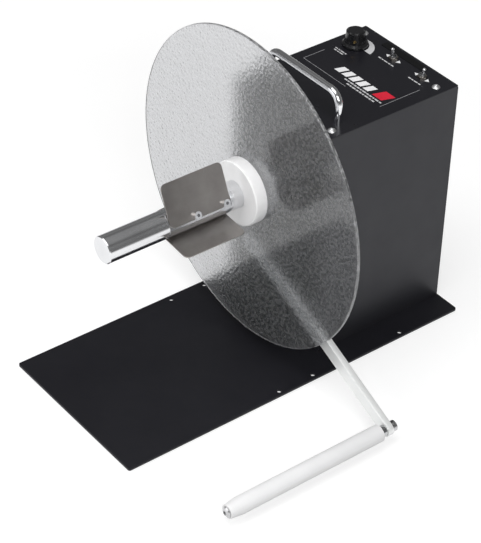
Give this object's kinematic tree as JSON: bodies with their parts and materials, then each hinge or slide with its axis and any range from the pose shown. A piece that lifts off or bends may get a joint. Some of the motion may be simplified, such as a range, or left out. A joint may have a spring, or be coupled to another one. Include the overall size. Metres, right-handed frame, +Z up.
{
  "type": "label unwinder",
  "caption": "Bench label unwinder with a gear-driven roll spindle, clear flange disc, spring core leaves, sprung dancer arm with roller, and a housing with torque knob and toggles.",
  "frame": {"origin": "centre of the underside of the base plate", "axes": "+Z up from the bench, the roll spindle points toward -Y, +X is to the right when facing the spindle nose"},
  "size_m": [0.3466, 0.3754, 0.3125],
  "materials": {
    "powder_coat": "satin black powder coat",
    "blank_label": "plain dark label",
    "chrome": "polished",
    "screw_steel": "plated",
    "machined_aluminium": "satin",
    "bearing_steel": "ground",
    "bronze": "turned",
    "spring_steel": "dark satin",
    "rubber_black": "matte",
    "zinc_steel": "plated grey",
    "board_green": "circuit board",
    "black_plastic": "moulded",
    "clear_disc": "clear pebbled sheet",
    "white_plastic": "turned white plastic",
    "knob_black": "gloss black"
  },
  "bodies": {
    "frame": {"base_plate": "powder_coat", "base_screws": "screw_steel", "housing_wrap": "powder_coat", "rear_panel": "powder_coat", "rear_panel_screws": "screw_steel", "top_panel": "powder_coat", "top_panel_screws": "chrome", "blank_plate": "blank_label", "carry_handle": "chrome", "handle_screws": "screw_steel", "bearing_block": "machined_aluminium", "wall_screws": "screw_steel", "bearing_outer_races": "bearing_steel", "bearing_balls": "bearing_steel", "pivot_block": "machined_aluminium", "pivot_bush": "bronze", "return_spring": "spring_steel", "arm_stops": "rubber_black", "motor_plate": "zinc_steel", "motor_screws": "screw_steel", "gear_motor": "zinc_steel", "control_board": "board_green", "board_components": "black_plastic", "board_standoffs": "screw_steel", "power_inlet": "black_plastic", "potentiometer": "zinc_steel", "direction_switch": "zinc_steel", "torque_switch": "zinc_steel", "toggle_nuts": "chrome", "sensor_bracket": "zinc_steel", "arm_sensor": "black_plastic"},
    "spindle": {"mandrel": "chrome", "flange_disc": "clear_disc", "front_hub": "white_plastic", "rear_hub": "white_plastic", "hub_screws": "screw_steel", "core_leaf_1": "spring_steel", "core_leaf_2": "spring_steel", "core_leaf_3": "spring_steel", "leaf_screws": "screw_steel", "spindle_spacer": "machined_aluminium", "bearing_inner_races": "bearing_steel", "retaining_ring": "bearing_steel", "spindle_gear": "white_plastic"},
    "motor_rotor": {"motor_shaft": "bearing_steel", "motor_pinion": "bronze"},
    "arm": {"dancer_arm": "machined_aluminium", "pivot_shaft": "bearing_steel", "arm_screw": "screw_steel", "pivot_spacer": "machined_aluminium", "pivot_collar": "machined_aluminium", "roller_axle": "bearing_steel", "axle_screws": "chrome"},
    "roller": {"roller_sleeve": "white_plastic", "roller_bushes": "white_plastic"},
    "knob": {"torque_knob": "knob_black", "knob_set_screw": "bronze", "potentiometer_shaft": "bearing_steel"},
    "direction_toggle": {"direction_lever": "chrome"},
    "torque_toggle": {"torque_lever": "chrome"}
  },
  "joints": [
    {"name": "spindle_spin", "type": "hinge", "parent": "frame", "child": "spindle", "pos_m": [-0.004, 0, 0.1625], "axis": [0, -1, 0], "continuous": true},
    {"name": "motor_spin", "type": "hinge", "parent": "frame", "child": "motor_rotor", "pos_m": [0.03, 0.096, 0.1285], "axis": [0, -1, 0], "continuous": true},
    {"name": "arm_swing", "type": "hinge", "parent": "frame", "child": "arm", "pos_m": [-0.004, 0, 0.1005], "axis": [0, -1, 0], "range_deg": [0, 60], "stiffness_Nm_per_rad": 0.3, "springref_deg": -51.57},
    {"name": "roller_spin", "type": "hinge", "parent": "arm", "child": "roller", "pos_m": [0.18461, 0, 0.01351], "axis": [0, -1, 0], "continuous": true},
    {"name": "torque_turn", "type": "hinge", "parent": "frame", "child": "knob", "pos_m": [-0.0465, 0.157, 0.2335], "axis": [0, 0, 1], "range_deg": [-150, 150]},
    {"name": "direction_throw", "type": "hinge", "parent": "frame", "child": "direction_toggle", "pos_m": [-0.0083, 0.1695, 0.233], "axis": [0, 1, 0], "range_deg": [0, 24]},
    {"name": "torque_throw", "type": "hinge", "parent": "frame", "child": "torque_toggle", "pos_m": [0.0298, 0.1695, 0.233], "axis": [0, -1, 0], "range_deg": [0, 24]}
  ],
  "couplings": [
    {"joint": "motor_spin", "follows": "spindle_spin", "ratio": -3}
  ]
}
